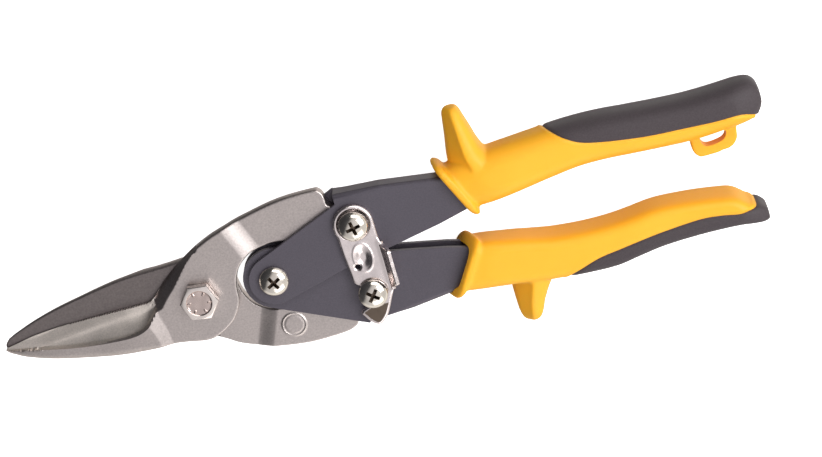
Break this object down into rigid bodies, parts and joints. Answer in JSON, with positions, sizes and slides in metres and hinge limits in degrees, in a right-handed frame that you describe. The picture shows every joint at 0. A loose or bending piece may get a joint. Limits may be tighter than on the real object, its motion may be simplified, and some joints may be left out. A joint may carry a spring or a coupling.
{
  "type": "aviation snips",
  "caption": "Compound-lever sheet-metal snips with offset steel jaws, folded channel handles, moulded two-part grips and a swinging latch.",
  "frame": {"origin": "centre of the bounding box in plan, on the plane that the closed tool lies on", "axes": "+X from the jaws to the grips, +Y towards the upper handle, +Z out of the latch side"},
  "size_m": [0.2582, 0.0764, 0.021],
  "materials": {
    "forged_steel": "satin, as forged",
    "plated_steel": "bright plated",
    "bright_nickel": "bright nickel",
    "charcoal_paint": "satin charcoal",
    "spring_steel": "oiled wire",
    "yellow_grip": "moulded, satin",
    "dark_pad": "matte soft grip"
  },
  "bodies": {
    "lower_handle": {"lower_handle_channel": "charcoal_paint", "lower_grip_shell": "yellow_grip", "lower_grip_pad": "dark_pad", "handle_pivot_screw": "bright_nickel", "handle_pivot_nut": "bright_nickel", "lower_tang_screw": "bright_nickel", "lower_tang_nut": "bright_nickel", "latch_catch_sleeve": "plated_steel", "spring_bush": "spring_steel", "handle_spring": "spring_steel"},
    "upper_handle": {"upper_handle_channel": "charcoal_paint", "upper_grip_shell": "yellow_grip", "upper_grip_pad": "dark_pad", "upper_tang_screw": "bright_nickel", "upper_tang_nut": "bright_nickel", "latch_wave_washer": "spring_steel"},
    "rear_blade": {"rear_blade": "forged_steel", "pivot_bolt": "plated_steel", "pivot_locknut": "plated_steel"},
    "front_blade": {"front_blade": "forged_steel"},
    "latch": {"latch_plate": "plated_steel"}
  },
  "joints": [
    {"name": "handle_pivot", "type": "hinge", "parent": "lower_handle", "child": "upper_handle", "pos_m": [-0.0368, -0.00185, 0.009], "axis": [0, 0, 1], "range_deg": [0, 40], "deforming": ["handle_spring"]},
    {"name": "rear_blade_pivot", "type": "hinge", "parent": "lower_handle", "child": "rear_blade", "pos_m": [-0.0068, -0.01385, 0.009], "axis": [0, 0, 1], "range_deg": [0, 9.7]},
    {"name": "main_pivot", "type": "hinge", "parent": "rear_blade", "child": "front_blade", "pos_m": [-0.0618, -0.00185, 0.009], "axis": [0, 0, 1], "range_deg": [0, 20.7]},
    {"name": "latch_pivot", "type": "hinge", "parent": "upper_handle", "child": "latch", "pos_m": [-0.0068, 0.01015, 0.009], "axis": [0, 0, 1], "range_deg": [0, 68]}
  ],
  "couplings": [
    {"joint": "rear_blade_pivot", "follows": "handle_pivot", "ratio": 0.2415},
    {"joint": "main_pivot", "follows": "handle_pivot", "ratio": 0.5165},
    {"joint": "latch_pivot", "follows": "handle_pivot", "ratio": 1.7}
  ]
}
